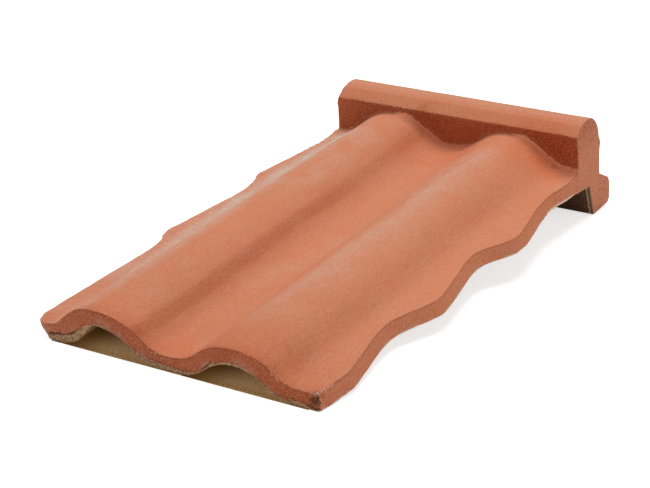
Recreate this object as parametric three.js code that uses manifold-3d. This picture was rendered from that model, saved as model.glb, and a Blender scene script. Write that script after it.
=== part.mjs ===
// Clay roof tile with two rolls, wavy long edges, a half-round head bar and a hanging nib.
// Millimetres. The tile is drawn flat (X across, Y from the eaves edge to the head, Z up) and
// then set down as it lies: on the front edge of its troughs and on the nib.
import * as THREE from 'three';
import { mergeVertices } from 'three/addons/utils/BufferGeometryUtils.js';
import Module from 'manifold-3d';

const wasm = await Module();
wasm.setup();

// ---- driving dimensions -------------------------------------------------------------------
const WALL = 10.8;                 // thickness of the sheet in its troughs and lips
const ROLL_WALL = 12;              // thickness at the crest of a roll
const SHEET_LENGTH = 398;          // eaves edge to the front face of the head bar
const SPLAY = 3.8;                 // how much further out each long edge runs by the head
const EDGE_LEAN = 4;               // the side faces lean this far to the right, from top to bottom
const RIGHT_REACH = 105.7;         // middle line to the right edge's mean line at the eaves
const RIGHT_SWING = 5.8;           // how far the right edge swings either side of its mean
const RIGHT_PITCH = 124.9;         // distance between two bulges of the right edge
const RIGHT_FIRST_BULGE = 25.5;    // eaves edge to its first bulge
const RIGHT_SKEW = 0.43;           // lean of the wave: quick out and slow in, radians
const RIGHT_RUN_OUT = 84;          // length over which the right edge runs out into the bar
const LEFT_REACH = 110.9;          // the same six for the left edge
const LEFT_SWING = 3.9;
const LEFT_PITCH = 129.6;
const LEFT_FIRST_BULGE = 30.8;
const LEFT_SKEW = 0.84;
const LEFT_RUN_OUT = 140;
const LEFT_CORNER_RADIUS = 8;      // plan radius of the left eaves corner
const RIGHT_CORNER_RADIUS = 4;     // plan radius of the right eaves corner

const FIRST_ROLL_EAVES = -58.9;    // place of the left crest, at the eaves and at the head
const FIRST_ROLL_HEAD = -55.4;
const SECOND_ROLL_EAVES = 50.4;    // place of the right crest
const SECOND_ROLL_HEAD = 48.2;
const FIRST_RISE = 20.8;           // rise of the left roll above the troughs
const SECOND_RISE_EAVES = 17.7;    // rise of the right roll, which grows toward the head
const SECOND_RISE_HEAD = 20.4;
const FIRST_CROWN_EAVES = 55.5;    // crown radius of the left roll, on the trough's side
const FIRST_CROWN_HEAD = 33;
const SECOND_CROWN_EAVES = 47;     // crown radius of the right roll
const SECOND_CROWN_HEAD = 36;
const FOOT_EAVES = 19;             // radius at the foot of the rolls
const FOOT_HEAD = 31;
const SLOPE_EAVES = 42;            // steepest slope of the rolls' sides, degrees
const SLOPE_HEAD = 33.5;
const LEFT_CROWN_EAVES = 33;       // the left roll's outer side: crown radius, foot radius, slope
const LEFT_CROWN_HEAD = 40;
const LEFT_FOOT_EAVES = 9;
const LEFT_FOOT_HEAD = 22;
const LEFT_SLOPE_EAVES = 41;
const LEFT_SLOPE_HEAD = 36;
const UNDER_CROWN = 6;             // underside of the left lip, which is thicker than the sheet:
const UNDER_FOOT = 28;             // crown radius, foot radius and slope
const UNDER_SLOPE = 52;
const LIP_BREADTH = 40;            // how far in from the bar's ends the lips start to droop
const LEFT_LIP_DROOP = 2;          // how far the left lip has drooped by the head
const RIGHT_LIP_DROOP = 4;         // how far the right lip has drooped by the head

const BAR_WIDTH = 215;             // head bar, end to end
const BAR_DEPTH = 40;              // front face to back face of the bar
const BAR_ARRIS_HEIGHT = 26.5;     // front arris of the bar above the troughs
const BAR_TOP_HEIGHT = 36.3;       // top of the bar above the troughs
const BAR_LEAN = 3;                // how far the bar's front face leans out at its arris
const BAR_SHOULDER = 15;           // front face to the highest line of the rounded top
const BAR_BACK_RADIUS = 25;        // rounding of the top into the back face

const HAUNCH_LENGTH = 86;          // thickened underside in front of the bar
const HAUNCH_DEPTH = 11.1;         // its depth below the sheet at the nib
const HOLLOW_RUN = 24;             // run of the slope that closes the rolls' hollows at the haunch
const NIB_DEPTH = 39.4;            // nib below the sheet
const NIB_SETBACK = 30;            // bar front face to the foot of the nib's front
const NIB_DRAFT = 9.3;             // how far the nib's front slopes from root to foot
const NIB_BASE = 31.5;             // length of the nib's flat foot
const HEEL_DROP = 7;               // back face of the bar ends this far below the sheet
const HEEL_FALL = 13;              // fall of the sloping heel from the bar to the nib's back
const NIB_CORNER = 3;              // rounding of the nib's outer corners

const ACROSS_STEPS = 72;           // straight pieces in the section across the tile
const ALONG_STEPS = 4;             // straight pieces along the sheet
const EDGE_STEPS = 16;             // straight pieces in one wave of a long edge
const BAR_STEPS = 12;              // straight pieces in each curve of the bar
const RAD = Math.PI / 180;

// ---- from three.js geometry to solids and back -------------------------------------------
function solid(geometry) {
  const bare = geometry.index ? geometry.toNonIndexed() : geometry.clone();
  bare.deleteAttribute('normal');
  bare.deleteAttribute('uv');
  const merged = mergeVertices(bare, 1e-4);
  return new wasm.Manifold(new wasm.Mesh({
    numProp: 3,
    vertProperties: new Float32Array(merged.attributes.position.array),
    triVerts: new Uint32Array(merged.index.array),
  }));
}

function toGeometry(manifold) {
  const mesh = manifold.getMesh();
  const geometry = new THREE.BufferGeometry();
  geometry.setAttribute('position', new THREE.BufferAttribute(new Float32Array(mesh.vertProperties), 3));
  geometry.setIndex(new THREE.BufferAttribute(new Uint32Array(mesh.triVerts), 1));
  geometry.computeVertexNormals();
  return geometry;
}

// Moves every vertex of a geometry by a rule that is given its place.
function reshape(geometry, rule) {
  const place = new THREE.Vector3();
  const position = geometry.attributes.position;
  for (let i = 0; i < position.count; i += 1) {
    place.fromBufferAttribute(position, i);
    rule(place);
    position.setXYZ(i, place.x, place.y, place.z);
  }
  return geometry;
}

// A profile in the plane of Y and Z, drawn out across the tile.
function acrossTile(profile, width) {
  const geometry = new THREE.ExtrudeGeometry(profile, {
    depth: width, bevelEnabled: false, curveSegments: BAR_STEPS,
  });
  geometry.rotateX(Math.PI / 2);
  geometry.rotateZ(Math.PI / 2);
  geometry.translate(-width / 2, 0, 0);
  return solid(geometry);
}

// ---- the section across the tile ---------------------------------------------------------
const mix = (eaves, head, t) => eaves + (head - eaves) * t;

function smooth(value) {
  const t = Math.min(Math.max(value, 0), 1);
  return t * t * (3 - 2 * t);
}

// Height of a roll at a distance from its crest: crown arc, straight flank, foot arc. Where the
// rise is too small for a flank, the two arcs meet at a gentler slope.
function rollHeight(distance, rise, crown, foot, slope) {
  const angle = Math.min(slope * RAD, Math.acos(Math.max(1 - rise / (crown + foot), 0)));
  const sine = Math.sin(angle);
  const cosine = Math.cos(angle);
  const flank = (rise - (crown + foot) * (1 - cosine)) / sine;
  const reach = (crown + foot) * sine + flank * cosine;
  if (distance <= crown * sine) return rise - crown + Math.sqrt(crown ** 2 - distance ** 2);
  if (distance <= reach - foot * sine) {
    return foot * (1 - cosine) + ((reach - foot * sine - distance) * sine) / cosine;
  }
  if (distance < reach) return foot - Math.sqrt(foot ** 2 - (reach - distance) ** 2);
  return 0;
}

function lipDroop(x, t) {
  const start = BAR_WIDTH / 2 - LIP_BREADTH;
  return t * (LEFT_LIP_DROOP * smooth((-x - start) / LIP_BREADTH)
    + RIGHT_LIP_DROOP * smooth((x - start) / LIP_BREADTH));
}

// Upper and lower surface of the sheet, at a place across it and at a share t of its length.
function upperAt(x, t) {
  const foot = mix(FOOT_EAVES, FOOT_HEAD, t);
  const slope = mix(SLOPE_EAVES, SLOPE_HEAD, t);
  const toFirst = x - mix(FIRST_ROLL_EAVES, FIRST_ROLL_HEAD, t);
  const toSecond = x - mix(SECOND_ROLL_EAVES, SECOND_ROLL_HEAD, t);
  const secondRise = mix(SECOND_RISE_EAVES, SECOND_RISE_HEAD, t);
  const first = toFirst > 0
    ? rollHeight(toFirst, FIRST_RISE, mix(FIRST_CROWN_EAVES, FIRST_CROWN_HEAD, t), foot, slope)
    : rollHeight(-toFirst, FIRST_RISE, mix(LEFT_CROWN_EAVES, LEFT_CROWN_HEAD, t),
      mix(LEFT_FOOT_EAVES, LEFT_FOOT_HEAD, t), mix(LEFT_SLOPE_EAVES, LEFT_SLOPE_HEAD, t));
  const second = rollHeight(Math.abs(toSecond), secondRise,
    mix(SECOND_CROWN_EAVES, SECOND_CROWN_HEAD, t), foot, slope);
  return WALL + Math.max(first, second) - lipDroop(x, t);
}

function lowerAt(x, t) {
  const foot = mix(FOOT_EAVES, FOOT_HEAD, t) + WALL;
  const slope = mix(SLOPE_EAVES, SLOPE_HEAD, t);
  const thicker = ROLL_WALL - WALL;
  const toFirst = x - mix(FIRST_ROLL_EAVES, FIRST_ROLL_HEAD, t);
  const toSecond = x - mix(SECOND_ROLL_EAVES, SECOND_ROLL_HEAD, t);
  const secondRise = mix(SECOND_RISE_EAVES, SECOND_RISE_HEAD, t);
  const first = toFirst > 0
    ? rollHeight(toFirst, FIRST_RISE - thicker, mix(FIRST_CROWN_EAVES, FIRST_CROWN_HEAD, t) - ROLL_WALL,
      foot, slope)
    : rollHeight(-toFirst, FIRST_RISE - thicker, UNDER_CROWN, UNDER_FOOT, UNDER_SLOPE);
  const second = rollHeight(Math.abs(toSecond), secondRise - thicker,
    mix(SECOND_CROWN_EAVES, SECOND_CROWN_HEAD, t) - ROLL_WALL, foot, slope);
  return Math.max(first, second) - lipDroop(x, t);
}

// ---- the waved sheet -----------------------------------------------------------------------
const sheetEnd = SHEET_LENGTH + BAR_DEPTH / 2;
const widest = Math.max(RIGHT_REACH + RIGHT_SWING, LEFT_REACH + LEFT_SWING) + SPLAY + EDGE_LEAN;
const floorLevel = -2 * NIB_DEPTH;       // below everything

// Everything under one of the two surfaces, down to a floor.
function ground(surfaceAt) {
  const geometry = new THREE.BoxGeometry(2 * widest, sheetEnd, 2, ACROSS_STEPS, ALONG_STEPS, 1);
  geometry.translate(0, sheetEnd / 2, 0);
  return solid(reshape(geometry, (place) => {
    place.z = place.z > 0 ? surfaceAt(place.x, place.y / SHEET_LENGTH) : floorLevel;
  }));
}

// ---- the wavy outline in plan --------------------------------------------------------------
// Distance from the middle line to one long edge. The wave is a cosine that leans, and it fades
// over the run-out, so that the edge ends flush with the end of the bar.
function edgeAt(y, reach, swing, pitch, firstBulge, skew, runOut) {
  const phase = (2 * Math.PI * (y - firstBulge)) / pitch - skew;
  const wave = swing * Math.cos(phase + skew * Math.cos(phase));
  const line = reach + (SPLAY * y) / SHEET_LENGTH;
  return mix(line + wave, BAR_WIDTH / 2, smooth((y - SHEET_LENGTH + runOut) / runOut));
}

const rightEdge = (y) => (
  edgeAt(y, RIGHT_REACH, RIGHT_SWING, RIGHT_PITCH, RIGHT_FIRST_BULGE, RIGHT_SKEW, RIGHT_RUN_OUT));
const leftEdge = (y) => (
  -edgeAt(y, LEFT_REACH, LEFT_SWING, LEFT_PITCH, LEFT_FIRST_BULGE, LEFT_SKEW, LEFT_RUN_OUT));

function planBlank() {
  const outline = new THREE.Shape();
  const steps = Math.round((EDGE_STEPS * SHEET_LENGTH) / Math.min(RIGHT_PITCH, LEFT_PITCH));
  const along = (from, i) => from + ((SHEET_LENGTH - from) * i) / steps;
  const leftStart = leftEdge(LEFT_CORNER_RADIUS);
  const rightStart = rightEdge(RIGHT_CORNER_RADIUS);
  const end = SHEET_LENGTH + NIB_SETBACK;
  outline.moveTo(leftStart + LEFT_CORNER_RADIUS, 0);
  outline.lineTo(rightStart - RIGHT_CORNER_RADIUS, 0);
  outline.quadraticCurveTo(rightStart, 0, rightStart, RIGHT_CORNER_RADIUS);
  for (let i = 1; i <= steps; i += 1) {
    const y = along(RIGHT_CORNER_RADIUS, i);
    outline.lineTo(rightEdge(y), y);
  }
  outline.lineTo(BAR_WIDTH / 2, end);
  outline.lineTo(-BAR_WIDTH / 2, end);
  for (let i = steps; i >= 0; i -= 1) {
    const y = along(LEFT_CORNER_RADIUS, i);
    outline.lineTo(leftEdge(y), y);
  }
  outline.quadraticCurveTo(leftStart, 0, leftStart + LEFT_CORNER_RADIUS, 0);
  const top = WALL + 2 * FIRST_RISE;
  const bottom = -2 * HAUNCH_DEPTH;
  const geometry = new THREE.ExtrudeGeometry(outline, {
    depth: top - bottom, bevelEnabled: false, curveSegments: 5,
  });
  geometry.translate(0, 0, bottom);
  return solid(reshape(geometry, (place) => {
    const upright = smooth((place.y - SHEET_LENGTH + RIGHT_RUN_OUT) / RIGHT_RUN_OUT);
    place.x += (EDGE_LEAN * (1 - upright) * (WALL - place.z)) / WALL;
  }));
}

// ---- the head: haunch, then bar, heel and nib in one profile along the bar ----------------
const nibFoot = SHEET_LENGTH + NIB_SETBACK;
const nibRoot = nibFoot - NIB_DRAFT;
const haunchStart = SHEET_LENGTH - HAUNCH_LENGTH;

function haunchProfile() {
  const crown = WALL + 2 * FIRST_RISE;
  const profile = new THREE.Shape();
  profile.moveTo(haunchStart, 0);
  profile.lineTo(nibRoot, -HAUNCH_DEPTH);
  profile.lineTo(nibRoot, crown);
  profile.lineTo(haunchStart - (HOLLOW_RUN * crown) / FIRST_RISE, crown);
  profile.closePath();
  return profile;
}

function headProfile() {
  const front = SHEET_LENGTH;
  const back = front + BAR_DEPTH;
  const top = WALL + BAR_TOP_HEIGHT;
  const arris = WALL + BAR_ARRIS_HEIGHT;
  const nibBack = nibFoot + NIB_BASE;
  const profile = new THREE.Shape();
  profile.moveTo(front, 0);
  profile.lineTo(front, WALL);
  profile.lineTo(front - BAR_LEAN, arris);
  profile.quadraticCurveTo(front + BAR_LEAN, top, front + BAR_SHOULDER, top);
  profile.absarc(back - BAR_BACK_RADIUS, top - BAR_BACK_RADIUS, BAR_BACK_RADIUS, Math.PI / 2, 0, true);
  profile.lineTo(back, -HEEL_DROP);
  profile.lineTo(nibBack - NIB_CORNER, -HEEL_DROP - HEEL_FALL + NIB_CORNER);
  profile.lineTo(nibBack, -HEEL_DROP - HEEL_FALL - NIB_CORNER);
  profile.lineTo(nibBack, -NIB_DEPTH + NIB_CORNER);
  profile.lineTo(nibBack - NIB_CORNER, -NIB_DEPTH);
  profile.lineTo(nibFoot, -NIB_DEPTH);
  profile.lineTo(nibRoot, -HAUNCH_DEPTH);
  profile.closePath();
  return profile;
}

// ---- put together and set down as it lies ---------------------------------------------------
const underTop = ground(upperAt);
const plan = planBlank();
const sheet = underTop.subtract(ground(lowerAt)).intersect(plan);
const haunch = acrossTile(haunchProfile(), 2 * widest).intersect(underTop).intersect(plan);
const head = acrossTile(headProfile(), BAR_WIDTH);
const drawn = sheet.add(haunch).add(head);

const lie = Math.atan2(NIB_DEPTH, nibFoot);      // the head is held up by the nib
const geometry = toGeometry(drawn);
geometry.rotateX(lie);
geometry.computeBoundingBox();
const box = geometry.boundingBox;
geometry.translate(-(box.min.x + box.max.x) / 2, -(box.min.y + box.max.y) / 2, -box.min.z);

const tile = new THREE.Group();
tile.name = 'clay_roof_tile';
const body = new THREE.Mesh(geometry, new THREE.MeshStandardMaterial({
  color: 0xc8805f, roughness: 0.85, metalness: 0,
}));
body.name = 'roof_tile';
tile.add(body);

export default tile;
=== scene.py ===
# %% [markdown]
# # A clay roof tile with two rolls
# The tile is one fired piece: a waved sheet, a round-topped bar across its head and a nib that
# hangs behind a batten. It was pressed in a mould, washed with a red slip and fired, and it has
# been handled since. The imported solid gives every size. This script puts a skin with softened
# arrises, chips and an uneven surface over that solid, and finishes it as fired clay.

import math

import bmesh
import bpy
import numpy as np
from mathutils import Matrix, Vector, noise


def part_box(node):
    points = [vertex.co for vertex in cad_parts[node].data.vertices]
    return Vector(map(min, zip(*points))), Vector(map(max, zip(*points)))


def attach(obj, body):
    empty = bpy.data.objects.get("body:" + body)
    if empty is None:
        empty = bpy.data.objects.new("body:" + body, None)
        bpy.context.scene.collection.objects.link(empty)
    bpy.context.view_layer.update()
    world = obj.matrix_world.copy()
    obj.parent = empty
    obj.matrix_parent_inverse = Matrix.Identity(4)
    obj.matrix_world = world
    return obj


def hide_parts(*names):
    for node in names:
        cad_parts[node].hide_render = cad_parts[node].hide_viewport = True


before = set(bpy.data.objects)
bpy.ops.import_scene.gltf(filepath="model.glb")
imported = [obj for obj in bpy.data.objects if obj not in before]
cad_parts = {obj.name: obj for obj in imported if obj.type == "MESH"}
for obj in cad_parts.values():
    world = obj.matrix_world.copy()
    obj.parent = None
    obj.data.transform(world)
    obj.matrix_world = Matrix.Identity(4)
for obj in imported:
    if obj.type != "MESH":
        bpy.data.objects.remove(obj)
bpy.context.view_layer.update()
MM = 0.001
tile_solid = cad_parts["roof_tile"]
low, high = (Vector(corner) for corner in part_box("roof_tile"))
print("tile box, mm:", [round(v / MM, 1) for v in (high - low)])

# %% [markdown]
# ## The camera
# The tile is seen from its eaves end, over its right edge, through a long lens. A long lens
# keeps the two rolls almost parallel, so the waves of the edges stay easy to read. A camera can
# be aimed with a constraint, but here its three directions are worked out from azimuth,
# elevation and roll, so that each can be changed by itself.

# %% Camera
AZIMUTH, ELEVATION, ROLL = (math.radians(angle) for angle in (31.13, 20.4, 0.46))
AIM = Vector((-40.29, 27.3, 0)) * MM
DISTANCE = 1413.7 * MM
SENSOR, LENS = 36, 102.1           # mm
FAR_CLIP = 50                      # m

back = Vector((math.sin(AZIMUTH) * math.cos(ELEVATION),
               -math.cos(AZIMUTH) * math.cos(ELEVATION), math.sin(ELEVATION)))
level = Vector((math.cos(AZIMUTH), math.sin(AZIMUTH), 0))
upright = back.cross(level)
right = level * math.cos(ROLL) + upright * math.sin(ROLL)
up = upright * math.cos(ROLL) - level * math.sin(ROLL)
scene = bpy.context.scene
camera = bpy.data.objects.new("camera", bpy.data.cameras.new("camera"))
scene.collection.objects.link(camera)
turn = Matrix((right, up, back)).transposed()
camera.matrix_world = Matrix.LocRotScale(AIM + back * DISTANCE, turn.to_quaternion(), None)
camera.data.sensor_width = SENSOR
camera.data.lens = LENS
camera.data.clip_end = FAR_CLIP
scene.camera = camera
print("camera stands at", tuple(round(v, 3) for v in camera.location))

# %% [markdown]
# ## Helpers for nodes
# The world, the stage and the clay are all nets of nodes. Nodes can be placed and linked one by
# one, as in the editor, but that takes many lines. So each helper adds one node and joins it up.
# Written this way, a material reads like a recipe. More helpers follow where they are needed.

# %% Node helpers
def node(tree, kind, **settings):
    made = tree.nodes.new("ShaderNode" + kind)
    for name, value in settings.items():
        setattr(made, name, value)
    return made


def join(tree, source, target):
    """Links an output to an input, or writes a plain value into the input."""
    if isinstance(source, bpy.types.NodeSocket):
        tree.links.new(source, target)
    else:
        target.default_value = source


def maths(tree, operation, *values):
    made = node(tree, "Math", operation=operation)
    for value, socket in zip(values, made.inputs):
        join(tree, value, socket)
    return made.outputs[0]


# %% [markdown]
# ## Light
# A tile is judged by the shade on its rolls, so the light is one broad soft source overhead, a
# little to the left, with a weak lamp on the right. The world is white where the camera sees it
# and faint for everything else, which keeps the faces that look at the viewer from going black.
# More light would whiten the background too, but it would bleach the clay. As it is, the levels
# add up to about one, so a colour renders as written.

# %% World
WORLD_FILL = 0.2                   # the world's strength for all but the camera

scene.view_settings.view_transform = "Standard"
world = bpy.data.worlds.new("studio")
scene.world = world
world.use_nodes = True
tree = world.node_tree
background = tree.nodes["Background"].inputs
background["Color"].default_value = (1, 1, 1, 1)
by_camera = node(tree, "LightPath").outputs["Is Camera Ray"]
join(tree, maths(tree, "MULTIPLY_ADD", by_camera, 1 - WORLD_FILL, WORLD_FILL),
     background["Strength"])
print("world:", world.name)

# %% Lamps
OVERHEAD_STRENGTH = 2.37
OVERHEAD_SPREAD = math.radians(50)
OVERHEAD_FROM = Vector((-0.22, 0.06, 1))
SIDE_LAMP_POWER = 5                # W
SIDE_LAMP_BREADTH = 1.0            # m
SIDE_LAMP_PLACE = Vector((1.6, 0.25, 0.5))
SIDE_LAMP_AIM = Vector((0, 0, 0.05))


def new_lamp(name, kind, facing_back):
    lamp = bpy.data.objects.new(name, bpy.data.lights.new(name, kind))
    lamp.rotation_euler = facing_back.to_track_quat("Z", "Y").to_euler()
    scene.collection.objects.link(lamp)
    return lamp


overhead = new_lamp("overhead", "SUN", OVERHEAD_FROM)
overhead.data.energy = OVERHEAD_STRENGTH
overhead.data.angle = OVERHEAD_SPREAD
side_lamp = new_lamp("side lamp", "AREA", SIDE_LAMP_PLACE - SIDE_LAMP_AIM)
side_lamp.location = SIDE_LAMP_PLACE
side_lamp.data.energy = SIDE_LAMP_POWER
side_lamp.data.size = SIDE_LAMP_BREADTH

# %% [markdown]
# ## The stage
# The floor is pale paper. To the camera and in reflections it also glows a little, so that it
# reads as white, and the tile's soft shadow still shows on it. A backdrop could curve up behind
# the tile, but the world is white there already. Under the eaves lies a thin strip of raw board,
# which shows through the two arches. Both are stage, not tile. The board's material comes last,
# because it shares the clay's noises.

# %% Floor
FLOOR_REACH = 6000                 # mm each way
FLOOR_GLOW = 0.68


def stage_plane(name, corners, height):
    """A flat piece through its front left, front right, back left and back right corner, in mm."""
    mesh = bpy.data.meshes.new(name)
    bm = bmesh.new()
    bmesh.ops.create_grid(bm, x_segments=1, y_segments=1, size=1)
    in_order = sorted(bm.verts, key=lambda v: (v.co.y, v.co.x))
    for vert, (across, along) in zip(in_order, corners):
        vert.co = Vector((across, along, height)) * MM
    bm.to_mesh(mesh)
    bm.free()
    item = bpy.data.objects.new(name, mesh)
    scene.collection.objects.link(item)
    print(name, "corners, mm:", corners)
    return item


def new_material(name, roughness, gloss):
    """A material with its own roughness and gloss, its tree and its shader."""
    material = bpy.data.materials.new(name)
    material.use_nodes = True
    principled = material.node_tree.nodes["Principled BSDF"]
    principled.inputs["Roughness"].default_value = roughness
    principled.inputs["Specular IOR Level"].default_value = gloss
    print("new material:", name)
    return material, material.node_tree, principled


def product(tree, value, *others):
    for other in others:
        value = maths(tree, "MULTIPLY", value, other)
    return value


floor = stage_plane("floor", [(across, along) for along in (-FLOOR_REACH, FLOOR_REACH)
                              for across in (-FLOOR_REACH, FLOOR_REACH)], 0)
paper, tree, shader = new_material("white paper", 1, 0)
shader.inputs["Base Color"].default_value = (0.8, 0.8, 0.8, 1)
shader.inputs["Emission Color"].default_value = (1, 1, 1, 1)
rays = node(tree, "LightPath").outputs
seen = maths(tree, "MAXIMUM", rays["Is Camera Ray"], rays["Is Glossy Ray"])
seen = maths(tree, "MAXIMUM", seen, rays["Is Transmission Ray"])
join(tree, product(tree, seen, FLOOR_GLOW), shader.inputs["Emission Strength"])
floor.data.materials.append(paper)

# %% Board under the eaves
EAVES = -229.0                     # the front line on the floor, mm
BOARD_FRONT, BOARD_BACK = EAVES - 0.8, EAVES + 75
BOARD_TOP = 0.12

board = stage_plane("board", [(-99, BOARD_FRONT), (104, BOARD_FRONT), (-99, BOARD_BACK),
                              (94, BOARD_BACK)], BOARD_TOP)

# %% [markdown]
# ## The skin
# The solid has knife-sharp arrises and long flat facets, which fired clay never has. One way to
# soften it is a voxel remesh, but that saws small teeth into a slanting arris. So a copy is laid
# flat, its loose triangles are merged into whole faces and each arris gets a small bevel. Then
# evenly spaced planes slice it into a net of small quads, fine enough to dent like clay.

# %% Lay a copy flat
NIB_DEPTH = 39.4 * MM              # the nib's foot below the sheet
NIB_FOOT = 428 * MM                # eaves edge to the nib's foot
LIE = math.atan2(NIB_DEPTH, NIB_FOOT)
SAME_PLACE = 0.06 * MM             # corners of the loose triangles that are one corner
SAME_PLANE = math.radians(1.2)     # triangles that turn by less are one face
TOO_SHORT = 0.5 * MM               # an edge to take out

bm = bmesh.new()
bm.from_mesh(tile_solid.data)
bmesh.ops.remove_doubles(bm, verts=bm.verts, dist=SAME_PLACE)
eaves_y = min(v.co.y for v in bm.verts if v.co.z < 0.1 * MM)
to_floor = Matrix.Translation((0, eaves_y, 0)) @ Matrix.Rotation(LIE, 4, "X")
bmesh.ops.transform(bm, matrix=to_floor.inverted(), verts=bm.verts)
bmesh.ops.dissolve_limit(bm, angle_limit=SAME_PLANE, verts=bm.verts, edges=bm.edges,
                         use_dissolve_boundaries=False)
bmesh.ops.dissolve_degenerate(bm, dist=TOO_SHORT, edges=bm.edges)
print("flat copy:", len(bm.faces), "faces, lie", round(math.degrees(LIE), 2), "degrees")

# %% Bevel the arrises
ARRIS_TURN = math.radians(28)      # an edge that turns outward by more is an arris
ARRIS_BREADTH = 0.6 * MM

arrises = [e for e in bm.edges if e.is_manifold and e.calc_face_angle_signed() > ARRIS_TURN]
print("arrises, mm:", round(sum(e.calc_length() for e in arrises) / MM))
bmesh.ops.bevel(bm, geom=arrises, offset=ARRIS_BREADTH, offset_type="OFFSET", segments=2,
                profile=0.5, affect="EDGES", material=-1, clamp_overlap=False)


# %% Slice it
ON_PLANE = 1e-6                    # m
WELD, SLIVER = 0.08 * MM, 0.2 * MM
STEEP = 0.75                       # a face whose normal rises less than this is cut in height too
# first plane, last plane and the gap between planes, mm
PLANES_ACROSS, PLANES_UP, PLANES_ALONG = (-116.53, 117.5, 2.1), (-38, 46, 2.2), (1, 459, 2.15)


def around(faces):
    edges = {edge for face in faces for edge in face.edges}
    corners = {vert for face in faces for vert in face.verts}
    return list(corners) + list(edges) + list(faces)


def slices(geometry, axis, places):
    """Cuts the middle plane first, then each half on its own side."""
    if not places:
        return
    middle = len(places) // 2
    at = places[middle]
    point, facing = [0, 0, 0], [0, 0, 0]
    point[axis], facing[axis] = at, 1
    cut = bmesh.ops.bisect_plane(bm, geom=geometry, dist=ON_PLANE, plane_co=point,
                                 plane_no=facing)
    below, above = [], []
    for piece in cut["geom"]:
        along = [v.co[axis] for v in getattr(piece, "verts", [piece])]
        if min(along) < at - ON_PLANE:
            below.append(piece)
        if max(along) > at + ON_PLANE:
            above.append(piece)
    slices(below, axis, places[:middle])
    slices(above, axis, places[middle + 1:])


def spaced(start, end, gap):
    return [(start + gap * i) * MM for i in range(int((end - start) / gap) + 1)]


slices(around(bm.faces), 0, spaced(*PLANES_ACROSS))
steep = [face for face in bm.faces if abs(face.normal.z) < STEEP]
slices(around(steep), 2, spaced(*PLANES_UP))
slices(around(bm.faces), 1, spaced(*PLANES_ALONG))
bmesh.ops.remove_doubles(bm, verts=bm.verts, dist=WELD)
bmesh.ops.dissolve_degenerate(bm, dist=SLIVER, edges=bm.edges)
bmesh.ops.delete(bm, geom=[v for v in bm.verts if not v.link_faces], context="VERTS")
print("net:", len(bm.faces), "faces")

# %% [markdown]
# ## An even net
# The net still shows the solid's facets. Evening takes them out: a corner on a face moves toward
# the middle of its neighbours, and a corner on a bevel's edge only along that edge. So the
# faces flow and the outline stays. A smoothing brush would do it too, but it also eats arrises.
# Where the right edge runs into the bar the facets are longest, so that place gets more rounds.

# %% Even the net
BEVEL_TURN = math.radians(14)      # an edge that turns by more belongs to a bevel
ROUNDS, FACE_ROUNDS, EDGE_ROUNDS = 8, 5, 1
FACE_PULL, EDGE_PULL = 0.5, 0.4


def corners_of(edges):
    return np.array([[v.index for v in e.verts] for e in edges])


def middle_of(place, pairs):
    """The middle of each corner's neighbours, along the given edges."""
    total, count = np.zeros_like(place), np.zeros(len(place))
    for one, other in (pairs.T, pairs.T[::-1]):
        np.add.at(total, one, place[other])
        np.add.at(count, one, 1)
    return total / np.maximum(count, 1)[:, None]


bm.verts.index_update()
place = np.array([v.co for v in bm.verts])
net_pairs = corners_of(bm.edges)
kept_pairs = corners_of([e for e in bm.edges
                         if e.is_manifold and e.calc_face_angle_signed() > BEVEL_TURN])
kept = np.bincount(kept_pairs.ravel(), minlength=len(place))
x, y, z = place.T / MM
by_the_bar = (y > 352) & (y < 399) & (x > 90)
for lap in range(ROUNDS):
    face_middle, edge_middle = middle_of(place, net_pairs), middle_of(place, kept_pairs)
    on_face = (kept == 0) & (by_the_bar | (lap < FACE_ROUNDS))
    on_edge = (kept == 2) & (by_the_bar | (lap < EDGE_ROUNDS))
    place[on_face] += FACE_PULL * (face_middle - place)[on_face]
    place[on_edge] += EDGE_PULL * (edge_middle - place)[on_edge]
for vert, spot in zip(bm.verts, place):
    vert.co = spot
for face in bm.faces:
    face.smooth = True
net = bpy.data.meshes.new("fired tile")
bm.to_mesh(net)
bm.free()
tile = bpy.data.objects.new("fired_tile", net)
scene.collection.objects.link(tile)
print("skin:", sum(len(p.vertices) - 2 for p in net.polygons), "triangles")

# %% [markdown]
# ## Where things are
# The next steps need to know what each point of the net belongs to. A point's place in the flat
# tile, in mm, and the way its surface faces are enough for that: x runs across from the left edge
# to the right one, y from the eaves to the head, z up from the underside of the troughs. Both are
# kept as arrays, because the net has tens of thousands of points.

# %% Places on the net
SHEET_LENGTH = 398                 # eaves edge to the bar
ROLLS_TOP = 34                     # no roll is higher, so what is above belongs to the bar
ROLLS_REACH = 99                   # the rolls lie this far to each side


def read_net():
    count = len(net.vertices)
    co = np.empty(count * 3)
    net.vertices.foreach_get("co", co)
    nr = np.empty(count * 3)
    net.vertices.foreach_get("normal", nr)
    return co.reshape(-1, 3) / MM, nr.reshape(-1, 3)


place, normal = read_net()
x, y, z = place.T
print("flat tile, mm:", place.min(0).round(1), place.max(0).round(1))

# %% Limits of a narrow face
def face_limits(values, heights, pick, span, gap=2):
    """Lowest and highest point of a face, for each place along it."""
    steps = np.arange(span[0], span[1], gap)
    lowest, highest = np.full(len(steps), np.nan), np.full(len(steps), np.nan)
    for i, start in enumerate(steps):
        here = pick & (values >= start) & (values < start + gap)
        if here.any():
            lowest[i], highest[i] = heights[here].min(), heights[here].max()
    known = ~np.isnan(lowest)
    centres = steps + gap / 2
    lowest, highest = (np.median([np.roll(row, shift) for shift in (-1, 0, 1)], axis=0)
                       for row in (lowest, highest))
    known &= ~np.isnan(lowest)
    return (np.interp(values, centres[known], lowest[known]),
            np.interp(values, centres[known], highest[known]))


ACROSS, ALONG = (-117, 117), (0, 398)


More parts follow.
